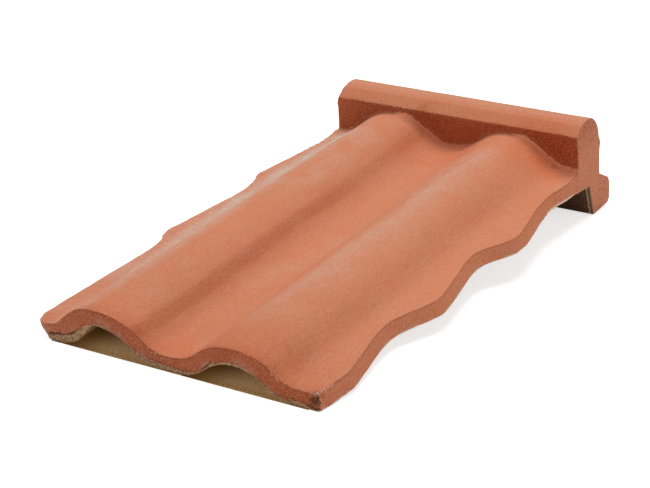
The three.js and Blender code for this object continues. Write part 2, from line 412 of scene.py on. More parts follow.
def eaves_limits():
    return face_limits(x, z, (normal[:, 1] < -0.8) & (y < 2.5), ACROSS)


eaves_low, eaves_high = eaves_limits()
print("eaves face, mm high:", round(float(np.median(eaves_high - eaves_low)), 1))

# %% [markdown]
# ## The crease in front of the bar
# Where a roll falls to the right, the maker thumbed clay into the crease between the sheet and
# the bar. It leaves a cove that is wide there and nothing elsewhere. A bevel would be even along
# the whole crease. So each corner near the crease is pushed out of it by an amount that is read
# from a table, and then the corners around the crease are softened together.

# %% Thumb clay into the crease
BAR_FRONT = [(10.8, SHEET_LENGTH), (37.3, 395)]     # height and place of the leaning front face
THUMBED = [(-57, 0), (-46, 1), (-22, 1), (-12, 0.4), (6, 0.4), (14, 0), (50, 0), (60, 0.85)]
THUMB_DEPTH, THUMB_REACH = 3.4, 7.5                 # most clay, and how far from the crease


def read_off(value, table):
    """Reads a table of pairs at each value, with straight lines between the pairs."""
    return np.interp(value, *zip(*table))


def soften(place, amount, rounds):
    for _ in range(rounds):
        place = place + amount[:, None] * (middle_of(place, net_pairs) - place)
    return place


sheet_top = (normal[:, 2] > 0.2) & (y > 384) & (y < 391)
columns = np.arange(-ROLLS_REACH, ROLLS_REACH + 1, 3.0)
heights = np.array([z[sheet_top & (np.abs(x - at) < 2.5)].mean() for at in columns])


def over_sheet(x, z):
    """Height over the sheet at the bar, square to the sheet, and the sheet's slope."""
    slope = np.interp(x, columns, np.gradient(heights, columns))
    return (z - np.interp(x, columns, heights)) / np.hypot(1, slope), slope


lifted, slope = over_sheet(x, z)
before_bar = read_off(z, BAR_FRONT) - y
on_bar = (normal[:, 1] < -0.7) & (np.abs(before_bar) < 1.6) & (lifted > -1.5)
on_sheet = (normal[:, 2] > 0.2) & (y > 385) & (y < 399) & (z < ROLLS_TOP)
to_crease = np.where(on_bar, lifted, np.where(on_sheet, before_bar, 99))
thumbed = read_off(x, THUMBED)
fill = THUMB_DEPTH * thumbed * np.clip(1 - to_crease / THUMB_REACH, 0, 1) ** 2
steepness = np.hypot(1, slope)
place += fill[:, None] * np.stack([-slope / steepness, -np.ones(len(x)), 1 / steepness], 1)

cove = (y > SHEET_LENGTH - 8) & (y < SHEET_LENGTH + 1.5) & (z > 3) & (z < ROLLS_TOP)
place = soften(place, 0.5 * cove, 8)
x, y, z = place.T                  # views, so they follow what is done to place
print("cove:", int(cove.sum()), "corners, thumbed up to", round(float(fill.max()), 1), "mm")

# %% [markdown]
# ## Edges trimmed by hand
# The solid's long edges are clean waves. On the fired tile each bulge was trimmed by eye, a few
# millimetres off the drawn line, and two bulges of the left edge curled up as they dried. The
# ends of the bar were cut by eye too. Each trim is a short table: how far along, and how much to
# add. It fades out toward the middle of the tile, so that only the edge moves.

# %% Trim the long edges and the bar's ends
# along the tile, and how far the edge moves to the right
LEFT_TRIM = [(0, -1.8), (8, -1.2), (17, -0.7), (26, 0.7), (37, 1.3), (47, 1), (58, 0), (70, -0.7),
             (92, -0.7), (103, -1), (115, -2.4), (127, -3), (138, -2), (147, -0.3), (151, -0.5),
             (155, -2.4), (158, -4.2), (162, -5), (171, -4.9), (178, -4.4), (184, -3.4),
             (197, -2.5), (210, -1.6), (223, -0.7), (236, -0.2), (250, -1.3), (263, -2),
             (270, -1.4), (277, -1.3), (281, -3.4), (285, -4.7), (290, -4.7), (294, -4.0),
             (302, -2.4), (317, -3), (333, -3), (348, -2.5), (363, -1.2), (378, -2.2),
             (387, -2.8), (391, -4), (395, -4.9)]
# along the tile, and how far the edge rises
LEFT_CURL = [(150, 0), (155, 0.5), (158, 1.2), (162, 1.9), (166, 1.7), (170, 1.2), (174, 0.8),
             (178, 0.6), (184, 0.2), (192, 0), (276, 0), (281, 0.7), (285, 1.3), (290, 0.8),
             (294, 0.4), (302, 0)]
# along the tile, and how far the edge moves to the right
RIGHT_TRIM = [(0, 4.2), (8, 2.7), (13, 1.5), (22, 0.1), (30, 0.6), (38, 1.7), (46, 1.6),
              (55, 1.1), (63, 0.9), (71, 0.4), (80, 0), (98, 0), (108, -0.3), (120, -0.5),
              (131, -1.7), (144, -1.2), (154, 0.5), (173, 0.5), (182, 0.3), (192, 0), (202, -0.5),
              (212, -0.9), (223, -0.6), (236, -0.2), (252, 1.4), (264, 1.8), (275, 1.3),
              (286, 0.1), (297, -0.2), (308, -0.5), (319, -1.1), (330, -0.5), (345, 0)]
# height, and how far the bar's left end moves to the right
BAR_END_TRIM = [(0, 0), (8, -3.4), (20, -2.9), (31, -2.2), (36, -1.3), (38, -0.3), (41, 0.5),
                (46, 1.2)]


def step(value, start, end):
    """Goes smoothly from nothing to one while the value goes from start to end."""
    t = np.clip((value - start) / (end - start), 0, 1)
    return t * t * (3 - 2 * t)


bar_part = np.where(z > ROLLS_TOP, 1.0 * (y > 385), step(y, 394.5, 396.5))
place[:, 0] += (1 - bar_part) * step(-x, 92, 106) * read_off(y, LEFT_TRIM)
place[:, 0] += (1 - bar_part) * step(x, 90, 102) * read_off(y, RIGHT_TRIM)
place[:, 2] += (1 - bar_part) * step(-x, 97, 114) * read_off(y, LEFT_CURL)
place[:, 0] += bar_part * step(-x, 96, 104) * read_off(z, BAR_END_TRIM)
print("trimmed by", min(v for _, v in LEFT_TRIM), "to", max(v for _, v in RIGHT_TRIM), "mm")

# %% [markdown]
# The arris of the eaves wavers across the two rolls in the same way. The bar's right end swells a
# little below its top, and a lump of clay stands on it near the back. Such a local dent or lump
# is a soft spot: most at its middle, and fading out over its own size in each direction.

# %% Waver the eaves and swell the bar's end
# across the tile, and how far the eaves' upper arris rises
EAVES_TRIM = [(-112, 0), (-105, 0.5), (-100, 1.2), (-91, 1.1), (-82, 0.9), (-77, 0.7), (-73, 0.3),
              (-64, -0.2), (-60, -0.8), (-48, -0.5), (-40, 0), (-36, 0.3), (-31, 0.9),
              (-25, 1.1), (-18, 1.5), (-13, 1.4), (-9, 0.3), (-1, 0.3), (3, 0.9), (8, 1.2),
              (14, 0.9), (18, 0.3), (24, 0.4), (30, 0.8), (38, 0.6), (48, 0.2), (57, 0.5),
              (64, 1), (72, 1.4), (80, 1.1), (87, 2), (92, 1.8), (98, 1.4), (103, 1.2),
              (109, 0.4)]
EAVES_TRIM_REACH = 14              # it fades out this far behind the eaves
SWELL, END_LUMP = 0.95, 0.6


def lump_at(points, centre, size):
    return np.exp(-(((points - np.array(centre)) / size) ** 2).sum(1))


def lump(centre, size):
    """A soft spot on the tile as it is now."""
    return lump_at(place, centre, size)


eaves_low, eaves_high = eaves_limits()
up_the_face = np.clip((z - eaves_low) / (eaves_high - eaves_low), 0, 1)
place[:, 2] += (step(up_the_face, 0.1, 0.9) * read_off(x, EAVES_TRIM)
                * np.exp(-(y / EAVES_TRIM_REACH) ** 2))
swell = SWELL * (1 - step(z + 10.5 * step(y, 402, 430), 28, 38))
swell += END_LUMP * lump((106, 438, 20), (4, 5, 2.5))
place[:, 0] += step(y, 394.5, 396.5) * step(x, 98, 104) * swell
print("bar's right end swells up to", round(float(swell.max()), 2), "mm")

# %% [markdown]
# The top of the bar was struck flat with a strip of wood, just behind its front arris. So the
# arris is crisp, with a flat chord behind it instead of a full round, and a low ridge follows. A
# plane could cut it, but that leaves a second hard arris. So the corners there are only drawn
# most of the way to the chord.

# %% Strike the bar's top
CHORD_FOOT, CHORD_START, CHORD_SLOPE = 38.7, 395.6, 0.81
FLATTENED = 0.85                   # share of the way to the chord
RIDGE, RIDGE_AT, RIDGE_BREADTH = 0.45, 425, 7

chord = CHORD_FOOT + CHORD_SLOPE * (y - CHORD_START)
struck = (y > 395) & (y < 404.5) & (z > 37.6)
place[:, 2] += FLATTENED * struck * (chord - z)
place[:, 2] += RIDGE * np.exp(-((y - RIDGE_AT) / RIDGE_BREADTH) ** 2) * step(z, 36, 42)
print("struck:", int(struck.sum()), "corners")

# %% [markdown]
# The left corner of the eaves was pressed up and rounded in the hand, and a piece of its foot is
# broken away. Soft spots push the clay up, out and in. Softening the corners of the net around
# it then takes out the last sharp bits.

# %% Press the left corner
pressed = lump((-113, 5, 9), (9, 13, 8))
place[:, 2] += 2.6 * pressed * step(z, 1, 7)
place[:, 0] -= 0.7 * pressed * step(z, 1, 7)
place[:, 0] += 2.4 * lump((-104, 1, 1), (5, 8, 4))
place -= lump((-108, 2, 8), (5, 6, 6))[:, None] * np.array([0.9, 0, 0.8])
rounded = lump((-109, 3, 8), (8, 8, 7)) > 0.3
place = soften(place, 0.5 * rounded, 12)            # x, y and z stay as they were before this
place[:, 0] -= 0.4 * lump((-111.3, 7, 12), (4, 4, 4))
place[:, 0] += 1.4 * lump((-106, 3, 2), (5, 4, 2.5))
print("left corner:", int(rounded.sum()), "corners rounded")

# %% [markdown]
# ## An uneven surface
# No pressed face is quite flat. A broad wander and a fine ripple move each corner in along its
# normal, never out, so the skin stays inside the solid. Both come from noise that is sampled at
# each place, so every run gives the same clay. The right corner lost a flake from its arris,
# with a hollow below it. Both are places where the corners move back, with the ripple to make
# their borders ragged. Last, nothing may stand past the solid's own reach.

# %% Wander, flake and hollow
SIDE_REACH, TOP_REACH = 117.4, 84.8


def clay_noise(place, size, seed, octaves=3):
    offset = Vector((seed * 17.3, seed * 5.9, seed * 11.1))
    return np.array([noise.fractal(Vector(p) / size + offset, 1.0, 2.0, octaves) for p in place])


wander = clay_noise(place, 26, 1)
ripple = clay_noise(place, 5, 2)
inward = (0.16 + 0.22 * np.clip(wander, -0.7, 1) + 0.05 * ripple) * (z > 1)
place -= normal * inward[:, None]
flaked = step(x, 103, 106) * step(z, 9.2, 10.6) * (1 - step(y, 1.5, 5))
place += flaked[:, None] * np.array([-0.3, 1.7, -0.9]) * (0.9 + 0.6 * ripple)[:, None]
hollowed = step(x, 104, 107) * step(z, 3.4, 5.4) * (1 - step(z, 9.4, 10.8)) * (y < 3)
place[:, 1] += 2.6 * hollowed * (0.9 + 0.4 * ripple)
place[:, 0] = np.clip(place[:, 0], -SIDE_REACH, SIDE_REACH)
standing = math.sin(LIE) * place[:, 1] + math.cos(LIE) * place[:, 2]
place[:, 2] -= np.maximum(standing - TOP_REACH, 0)
x, y, z = place.T
print("flake reaches", int((flaked > 0.2).sum()), "corners")

# %% [markdown]
# ## Back on the floor
# The net has been shaped lying flat, because every place on it is easy to name there. Now the
# limits of its narrow faces are read once more, for the finish. The flat places are kept, and the
# net is turned and moved to where the solid lies: on the eaves' foot and on its nib.

# %% Stand it back on the floor
def write_net(place):
    net.vertices.foreach_set("co", (place * MM).ravel())
    net.update()


write_net(place)
place, normal = read_net()
side_face = (normal[:, 0] > 0.75) & (y < 396) & (x > 85)
eaves_low, eaves_high = eaves_limits()
side_low, side_high = face_limits(y, z, side_face, ALONG)
flat_place, flat_normal = place.copy(), normal.copy()
net.transform(to_floor)
net.update()
print("skin box, mm:", np.ptp(read_net()[0], axis=0).round(1))

# %% [markdown]
# ## Where the finish changes
# Each mask is a number on every corner of the net, and the material reads it by name. Most go
# from nothing to one. Thin lines are stored as a distance in millimetres instead, and the
# material turns the distance into a line, so that a line can be finer than the net. A distance
# far from nothing, such as 30 or -9, only says that the corner belongs to no such line. Masks
# could be painted by hand too, but worked out like this they are the same in every run.

# %% Mask helpers
def keep(name, values):
    layer = net.attributes.new(name, "FLOAT", "POINT")
    layer.data.foreach_set("value", np.asarray(values, dtype=np.float32))
    print(f"{name}: {float(np.min(values)):.2f} to {float(np.max(values)):.2f}")


def apart(line):
    """How far each corner of the net is from a line drawn on the plan."""
    best = np.full(len(x), 1e9)
    for (x0, y0), (x1, y1) in zip(line, line[1:]):
        squared = (x1 - x0) ** 2 + (y1 - y0) ** 2
        t = np.clip(((x - x0) * (x1 - x0) + (y - y0) * (y1 - y0)) / squared, 0, 1)
        best = np.minimum(best, np.hypot(x - x0 - t * (x1 - x0), y - y0 - t * (y1 - y0)))
    return best


def near(line, breadth):
    return np.exp(-(apart(line) / breadth) ** 2)


x, y, z = flat_place.T
across, along, facing_up = flat_normal.T
top = step(facing_up, 0.25, 0.5)
patchy = np.clip(0.5 + 0.9 * clay_noise(flat_place, 17, 5), 0, 1)
broad = np.clip(0.5 + 0.8 * clay_noise(flat_place, 42, 6), 0, 1)
print("top:", int((top > 0.5).sum()), "corners")

# %% [markdown]
# Bloom is the pale haze in the shallow creases and on the left edge: partly the haze that lime
# leaves, partly painted sheen on the slopes of the left roll that turn to the left. It lies in soft
# bands along lines on the plan, broken up by the two noises. Toward the head, and on the bar's
# top, the colour is a little lighter: painted light.

# %% Bloom and painted sheen
LEFT_FOOT = [(-79, 14), (-95, 55), (-100, 90), (-102, 116), (-103.5, 169), (-104.5, 238),
             (-103, 308), (-99, 379)]
SECOND_SHOULDER = [(9, 25), (24, 44), (30, 63), (36, 100), (39, 136), (39, 177), (41, 230),
                   (40, 282), (42, 326), (46, 360)]
SECOND_CROWN = [(36, 60), (44, 120), (47, 200), (48, 250), (50, 340)]
TROUGH = [(-12, 115), (0, 160), (12, 215), (22, 260), (24, 350)]
FIRST_CROWN = [(-50, 240), (-52, 300), (-58, 350), (-62, 380)]
LEFT_CORNER = [(-96, 30), (-86, 55)]

bloom_and_sheen = (0.075 + 0.125 * step(y, 25, 90) + 0.065 * step(y, 90, 160)) * step(-x, 82, 97)
bloom_and_sheen *= (0.55 + 0.7 * broad) * (1 - 0.6 * step(-x, 104, 112) * step(y, 100, 150))
bloom_and_sheen += 0.12 * near(LEFT_FOOT, 2.2)
bloom_and_sheen += 0.20 * near(LEFT_FOOT, 9) * step(y, 120, 230) * (0.4 + patchy)
# painted sheen: slopes of the left roll that turn to the left are paler
bloom_and_sheen += 0.20 * step(-x, 50, 66) * step(-across, 0.02, 0.4) * (0.35 + 1.0 * patchy)
bloom_and_sheen += (0.05 + 0.09 * step(y, 60, 150)) * near(SECOND_SHOULDER, 8) * (0.7 + 0.5 * patchy)
bloom_and_sheen += 0.09 * near(SECOND_CROWN, 14) * (0.6 + 0.6 * broad)
bloom_and_sheen += 0.07 * near(TROUGH, 9) * (0.6 + 0.6 * patchy)
bloom_and_sheen += 0.12 * near(FIRST_CROWN, 13) * patchy
bloom_and_sheen += 0.05 * patchy * broad + 0.08 * near(LEFT_CORNER, 12)
bloom_and_sheen = bloom_and_sheen * (y < 393) + 0.12 * step(along, -0.35, 0.0) * (y > 400) * (z > 20)
keep("bloom_and_sheen", np.clip(bloom_and_sheen * top, 0, 1))
# painted light: lighter toward the head, on the bar's top and low on its ends
painted_light_on_bar = (y > 398) * ((facing_up > 0.4) + (across > 0.75) * step(-z, -30, -20))
keep("lit_toward_head", np.clip(step(y, 40, 190) * (y < 398) + painted_light_on_bar, 0, 1))

# %% [markdown]
# The crease is where the sheet's red top, the bar's dark front and the thumbed cove meet. Its
# line must be smooth, so it is not read from single faces: it is the height over the sheet, less
# what was thumbed in. The cove keeps the colour of the sheet.

# %% Crease and bar
BAR_ARRIS = 38.7                   # height of the bar's front arris
UNDER_COVE = 3.0                   # how far the cove lifts the line
FAR, NOT_HERE = 30, -9

in_cove = np.clip(1.7 * thumbed, 0, 1)
lifted, _ = over_sheet(x, z)
by_rolls = np.abs(x) < ROLLS_REACH
over_crease = np.where(by_rolls, lifted - 0.5 - UNDER_COVE * in_cove, 9)
bar_front = (along < np.where(by_rolls, -0.5, -0.85)) & (y > 390) & (z > -2) & (z < 38.9)
by_crease = (by_rolls & (y > 388) & (y < 399.5) & (z < ROLLS_TOP) & (facing_up > -0.3)
             & (along < 0.3))
bar_face = bar_front * np.clip((over_crease - 0.1) / (1 + 1.5 * in_cove), 0, 1)
bar_end = (np.abs(across) > 0.75) * (y > 396)
on_sheet = (facing_up > 0.3) & (z < 35) & (y < 399)
before_bar = read_off(z, BAR_FRONT) - y
keep("below_bar_arris", np.where(bar_front | by_crease, np.minimum(BAR_ARRIS - z, over_crease),
                                 np.where(z < ROLLS_TOP, NOT_HERE, -3)))
keep("in_cove", in_cove)
keep("off_bar", np.where((y < 375) | (x > 101), FAR, np.where(on_sheet, before_bar, -8)))
# painted light on the far left and in the middle of the bar's front
keep("lit_left_of_bar", bar_face * step(-x, 80, 100))
keep("lit_middle_of_bar", bar_face * np.exp(-((x - 10) / 32) ** 2))
keep("chalky", step(-x, 20, 50) * (y > 390) * (y < 400) * (z > ROLLS_TOP))

# %% [markdown]
# The colour is darker on the eaves face, in the foot of the left roll, on the right flank of the
# right one and along the eaves: partly darker slip, partly painted shade where these faces turn
# from the light. The tip of the left corner is worn and has none.

# %% Darker slip and painted shade
ROLL_FOOT = [(-28.3, -5), (-27.6, 40), (-27.5, 62), (-28.6, 101), (-28.5, 139), (-29.8, 194),
             (-29, 249), (-29.6, 310), (-31.5, 396)]
DULL_FLANK = [(76, 0), (78, 45), (78, 83), (80, 158), (76, 210), (77, 270), (76, 321)]
SECOND_ROLL_END = [(62, 391), (78, 389), (90, 391)]

eaves_front = step(-along, 0.5, 0.85) * (y < 4)
worn_tip = 1 - step(-x, 100, 109) * step(z, 2, 7)
roll_foot = np.exp(-(apart(ROLL_FOOT) / 4.8) ** 4)
trough_middle = np.exp(-((x + 3) / 8) ** 2)
# darker slip, and painted shade on faces that turn from the light
dark_slip_and_shade = (0.46 - 0.27 * step(-x, 70, 84) + 0.3 * (patchy - 0.5)) * eaves_front * worn_tip
dark_slip_and_shade += 0.15 * bar_face * step(x, 40, 80)
dark_slip_and_shade += 0.60 * roll_foot * top * (1 - 0.35 * step(y, 230, 300))
dark_slip_and_shade += 0.35 * near(ROLL_FOOT, 8) * top * step(y, 345, 392) * (1 - 0.9 * step(-x, 27, 34))
# painted shade on the right roll's right flank, which turns from the light
dark_slip_and_shade += (0.34 - 0.12 * step(y, 20, 90)) * near(DULL_FLANK, 9) * top * (0.55 + 0.6 * patchy)
dark_slip_and_shade += 0.30 * near(SECOND_ROLL_END, 8) * top * step(z, 8, 14)
dark_slip_and_shade += (0.36 * top * (1 - step(y, 0, 15)) * (1 - 0.8 * step(-x, 88, 100))
         * (1 - 0.7 * trough_middle))
dark_slip_and_shade += 0.24 * top * (1 - step(y, 8, 70)) * step(x, 5, 30)
dark_slip_and_shade += 0.04 * side_face * (1 - step(y, 335, 375)) + bar_end * (0.55 * step(z, 26, 45) - 0.05)
dark_slip_and_shade += 0.28 * lump_at(flat_place, (22, 372, 22), (12, 20, 12)) * top
dark_slip_and_shade += 0.35 * lump_at(flat_place, (-108, 4, 10), (7, 10, 9)) * top
keep("dark_slip_and_shade", np.clip(dark_slip_and_shade, 0, 1))
keep("upright", np.clip(bar_face + eaves_front * worn_tip + 0.5 * (across > 0.75), 0, 1))

# %% [markdown]
# Some places are a hotter, more saturated red: the right part of the bar's front, the eaves face,
# the side face, and a few spots on the sheet.

# %% Flushed clay
BAR_FLUSH = [(-100, 0.3), (-60, 0.15), (-20, 0.05), (10, 0.05), (60, 0.8), (80, 1)]
# x, y, breadth, amount
FLUSH_SPOTS = [(22, 372, 14, 0.3), (-30, 358, 14, 0.35), (0, 370, 12, 0.3), (66, 382, 16, 0.5),
               (84, 386, 12, 0.5), (-108, 165, 9, 0.3), (-112, 284, 8, 0.25), (-82, 18, 13, 0.4),
               (-4, 20, 14, 0.2), (20, 120, 18, 0.12), (-108, 4, 7, 0.6), (-30, 381, 6, 0.4)]
SPOT_STRETCH = 1.5                 # a spot is longer along the tile than across it

flushed = bar_face * read_off(x, BAR_FLUSH)
flushed += (0.92 * eaves_front * (0.6 + 0.25 * step(x, -20, 60)) * (1 - 0.4 * step(-x, 70, 84))
            * worn_tip)
flushed += 0.2 * top * (1 - step(y, 4, 40)) * (1 - step(-x, 88, 100))
flushed += (0.18 + 0.12 * step(y, 320, 350) - 0.15 * step(y, 372, 388)) * side_face
for at_x, at_y, breadth, amount in FLUSH_SPOTS:
    flushed += amount * top * np.exp(-((x - at_x) / breadth) ** 2
                                     - ((y - at_y) / breadth / SPOT_STRETCH) ** 2)
keep("flushed", np.clip(flushed, 0, 1))

# %% [markdown]
# Raw clay without slip shows under the tile and inside the hollows of the rolls. The front of
# the nib lies far under the tile and is painted near black: painted shade. It has one pale worn
# edge near its right end.

# %% Bare clay and painted shade on the nib
long_edge = (np.abs(across) > 0.6) * ((y > 394) | (x < -90))
under = step(-facing_up, 0.2, 0.5) * (1 - long_edge)
in_hollow = ((z < ROLLS_TOP) & (y > 2.5) & (facing_up < 0.2) & (along > -0.5)
             & (np.abs(across) > 0.2) & (np.abs(x) < 94))
keep("bare", np.clip(under + in_hollow, 0, 1))
nib_front = step(-along, 0.3, 0.7) * (z < -3) * (y > 400)
# painted shade on the nib's front under the tile
keep("nib_shade", np.clip(nib_front * (1 - 0.12 * step(x, 86, 98)), 0, 1))
keep("from_nib_end", np.where((along < -0.3) & (z < -3) & (y > 400), 106 - x, FAR))

# %% [markdown]
# A strip of raw clay runs along the foot of the eaves face, with a crevice's painted shadow over
# it at both ends. Over the arches it follows the undersides of the rolls, where the edge is worn.
# Tables give its height, its worn breadth and the dark of that painted shadow at each place
# across the tile.

# %% Foot of the eaves face
# across the tile, and the height of the strip
EAVES_FOOT = [(-112, -3), (-103, -2), (-101, 4), (-96, 5.2), (-92, 5.7), (-89, 6.1), (-86, 6.8),
              (-82, 8.1), (-79, 9.9), (-76, 12.3), (-74, 14.2), (-72, 15.9), (-70, 17.3),
              (-68, 18.5), (-64, 19.6), (-62, 0), (-38, 0), (-36, 12.6), (-34, 11.7), (-29, 8.7),
              (-24, 6.5), (-17, 5.3), (-9, 4.7), (-1, 3.8), (7, 3.0), (15, 3.9), (22, 5.4),
              (25, 7.4), (28, 11.2), (31, 14.2), (34, 16.6), (37, 0), (70, 0), (74, 8), (76, 6.7),
              (81, 3.4), (85, 3), (90, 3.4), (96, 3.5), (101, 3.4), (104, 1.8), (112, 0.8)]
# across the tile, and the breadth of the worn edge
WORN_ARCH = [(-70, 1.3), (-62, 1.2), (-52, 1.0), (-46, 0.3), (30, 0.9), (36, 1.2), (52, 1.1),
             (60, 0.3)]
# across the tile, and how dark the crevice's painted shadow is
CREVICE = [(-103, 0), (-100, 1), (-79, 1), (-74, 0.3), (-60, 0.1), (-30, 0.3), (22, 0.3), (25, 1),
           (30, 1), (34, 0.2), (70, 0.2), (97, 0.3), (100, 1), (112, 1)]

in_arch = step(eaves_low, 0.6, 2.5)
eaves_strip = (y < 6) & (along < -0.2)
foot_line = np.maximum(read_off(x, EAVES_FOOT), in_arch * (eaves_low + read_off(x, WORN_ARCH)))
keep("above_eaves_foot", np.where(eaves_strip, z - foot_line, FAR))
keep("crevice", np.where(eaves_strip, read_off(x, CREVICE), 0))
keep("above_arch", np.where(eaves_strip & (in_arch > 0.5), z - eaves_low, FAR))
keep("below_eaves_arris", np.where(eaves_strip, eaves_high - z + 3 * (1 - worn_tip), FAR))
nicked = (lump_at(flat_place, (-13, 0, 12), (6, 4, 5))
          + lump_at(flat_place, (80, 0, 16), (9, 4, 8)))
keep("nicked", np.clip(nicked, 0, 1))

# %% [markdown]
# The side face has a dark line under its top arris, a worn pale foot, and a paler one where the
# haunch begins. A crease runs along the right roll, where the halves of the mould met. The right
# corner has its pale flake, a dark hollow and a painted glint on its edge.

# %% Side face, crease and right corner
MOULD_CREASE = [(28.5, 205), (29.6, 217.5), (32.5, 245), (35.1, 286.6), (37.7, 321.9),
                (41.9, 352.3)]

on_side = (x > 85) & (y < 397) & (facing_up < 0.85) & (across > 0.3)
keep("below_side_arris", np.where(on_side, side_high - z, FAR))
keep("above_side_foot", np.where(on_side, z - side_low, FAR))
keep("haunch_foot", np.where(on_side & (y > 338), z - side_low + 3 * step(y, 384, 396), FAR))
keep("from_crease", np.where((y > 205) & (y < 352), apart(MOULD_CREASE), FAR))
right_edge = (x > 100) & (y > 2) & (y < 20) & (across > 0.2) & (facing_up > 0.2)
keep("edge_glint", np.where(right_edge, np.abs(side_high - z), FAR))
at_corner = (x > 100) & (y < 8)
keep("flake", np.where(at_corner, np.minimum(np.minimum(z - 8.9, x - 105.8), 6.0 - y), -5))
in_pit = at_corner & (along < 0.3) & (across < 0.93) & (x < 114.6)
keep("pit", np.where(in_pit, np.minimum(np.minimum(9.5 - z, z - 2.4), x - 103.6), -5))
keep("pitted", bar_end * (0.25 + 0.75 * step(z, 8, 24)) + (y > 434) * (z < 22))

# %% [markdown]
# ## The noises of the clay
# No border on a wiped and fired surface is straight, and no patch is even. Seven noises break
# them up: five sizes from broad patches to single grains, one that is drawn out along the tile,
# and small dark pits. They could stand in each material by themselves, but then they would be
# set twice. So they sit in one group, and each material feeds it the places on its own piece.

# %% Clay noise group
CLOUDS = {"Broad": (22, 3), "Patch": (90, 4), "Fleck": (380, 3), "Dot": (650, 3),
          "Grain": (1300, 1)}                       # scale per metre, detail
DRAWN_STRETCH = (330, 50, 330)
PIT_SCALE = 420

noise_group = bpy.data.node_groups.new("clay noise", "ShaderNodeTree")
for title in (*CLOUDS, "Drawn", "Speck"):
    noise_group.interface.new_socket(title, in_out="OUTPUT", socket_type="NodeSocketFloat")
noise_group.interface.new_socket("Place", in_out="INPUT", socket_type="NodeSocketVector")
out = noise_group.nodes.new("NodeGroupOutput")
spot = noise_group.nodes.new("NodeGroupInput").outputs["Place"]


def ramped(tree, value, start, end, first=0.0, last=1.0):
    """Goes smoothly from first to last while the value goes from start to end."""
    made = node(tree, "MapRange", interpolation_type="SMOOTHSTEP")
    for amount, socket in zip((value, start, end, first, last), made.inputs):
        join(tree, amount, socket)
    return made.outputs[0]


def cloud(title, vector, scale, detail):
    made = node(noise_group, "TexNoise")
    made.inputs["Scale"].default_value = scale
    made.inputs["Detail"].default_value = detail
    join(noise_group, vector, made.inputs["Vector"])
    join(noise_group, made.outputs["Fac"], out.inputs[title])


for title, (scale, detail) in CLOUDS.items():
    cloud(title, spot, scale, detail)
stretched = node(noise_group, "Mapping")
stretched.inputs["Scale"].default_value = DRAWN_STRETCH
join(noise_group, spot, stretched.inputs["Vector"])
cloud("Drawn", stretched.outputs[0], 1, 3)
cells = node(noise_group, "TexVoronoi")
cells.inputs["Scale"].default_value = PIT_SCALE
join(noise_group, spot, cells.inputs["Vector"])
join(noise_group, ramped(noise_group, cells.outputs["Distance"], 0.16, 0.36, 1.0, 0.0),
     out.inputs["Speck"])


def clay_noises(tree):
    """Places the group in a material, read at each place on the piece."""
    made = node(tree, "Group", node_tree=noise_group)
    join(tree, node(tree, "TexCoord").outputs["Object"], made.inputs["Place"])
    return made.outputs


print("noises:", [item.name for item in noise_group.interface.items_tree])

# %% [markdown]
# ## Fired clay
# The body is one Principled material. Its colour starts as red slip, a little uneven in two
# broad sizes. Then one mask after another changes it, from the large to the small. Painted light
# toward the head, darker slip with painted shade, the bar's front with its painted shade and
# light, and the redder places multiply the colour, so what is under them still shows.

# %% Red slip
SLIP = (0.627, 0.210, 0.103, 1)
WARM_SLIP = (0.64, 0.232, 0.120, 1)
DULL_SLIP = (0.60, 0.237, 0.135, 1)
# painted light toward the head
HEAD_LIGHT_TINT = (1.07, 1.08, 1.07, 1)
# darker slip and painted shade
SLIP_AND_SHADE_TINT = (0.72, 0.54, 0.40, 1)
# the bar's front: darker slip and painted shade
BAR_TINT = (0.68, 0.52, 0.38, 1)
# painted light on the bar's front
BAR_LIGHT_TINT = (1.24, 1.20, 1.10, 1)
FLUSH_TINT = (1.03, 0.68, 0.42, 1)


def mixed(tree, factor, one, other, blend="MIX"):
    made = node(tree, "Mix", data_type="RGBA", blend_type=blend)
    join(tree, factor, made.inputs[0])
    join(tree, one, made.inputs[6])
    join(tree, other, made.inputs[7])
    return made.outputs[2]


def mask(tree, name):
    """Reads a number that is stored on every corner of the mesh."""
    return node(tree, "Attribute", attribute_name=name).outputs["Fac"]


clay, tree, shader = new_material("fired clay", 0.8, 0.2)
noises = clay_noises(tree)
colour = mixed(tree, ramped(tree, noises["Broad"], 0.3, 0.7, 0.0, 0.5), SLIP, WARM_SLIP)
colour = mixed(tree, ramped(tree, noises["Patch"], 0.45, 0.75, 0.0, 0.45), colour, DULL_SLIP)
colour = mixed(tree, mask(tree, "lit_toward_head"), colour, HEAD_LIGHT_TINT, "MULTIPLY")
colour = mixed(tree, mask(tree, "dark_slip_and_shade"), colour, SLIP_AND_SHADE_TINT, "MULTIPLY")
# the bar's front below its arris: partly darker slip, partly painted shade; painted light lifts its
# middle
below = mask(tree, "below_bar_arris")
dark_front = product(tree, ramped(tree, below, -0.2, 0.5), ramped(tree, below, 9, 20, 1.0, 0.72),
                     ramped(tree, mask(tree, "lit_middle_of_bar"), 0, 1, 1.0, 0.76))
colour = mixed(tree, dark_front, colour, BAR_TINT, "MULTIPLY")
# painted light on the far left of the bar's front
colour = mixed(tree, mask(tree, "lit_left_of_bar"), colour, BAR_LIGHT_TINT, "MULTIPLY")
colour = mixed(tree, mask(tree, "flushed"), colour, FLUSH_TINT, "MULTIPLY")
print("slip:", SLIP[:3])

# %% [markdown]
# Over the slip lie pale streaks drawn along the tile, where it was wiped, and the bloom with its
# painted sheen.
# Then come the small flecks that all fired slip has. A fleck goes lighter or darker, so each
# noise is split: what is above the middle mixes in a pale colour, what is below it a dark one.
# Faces that look at the viewer are mottled more coarsely.

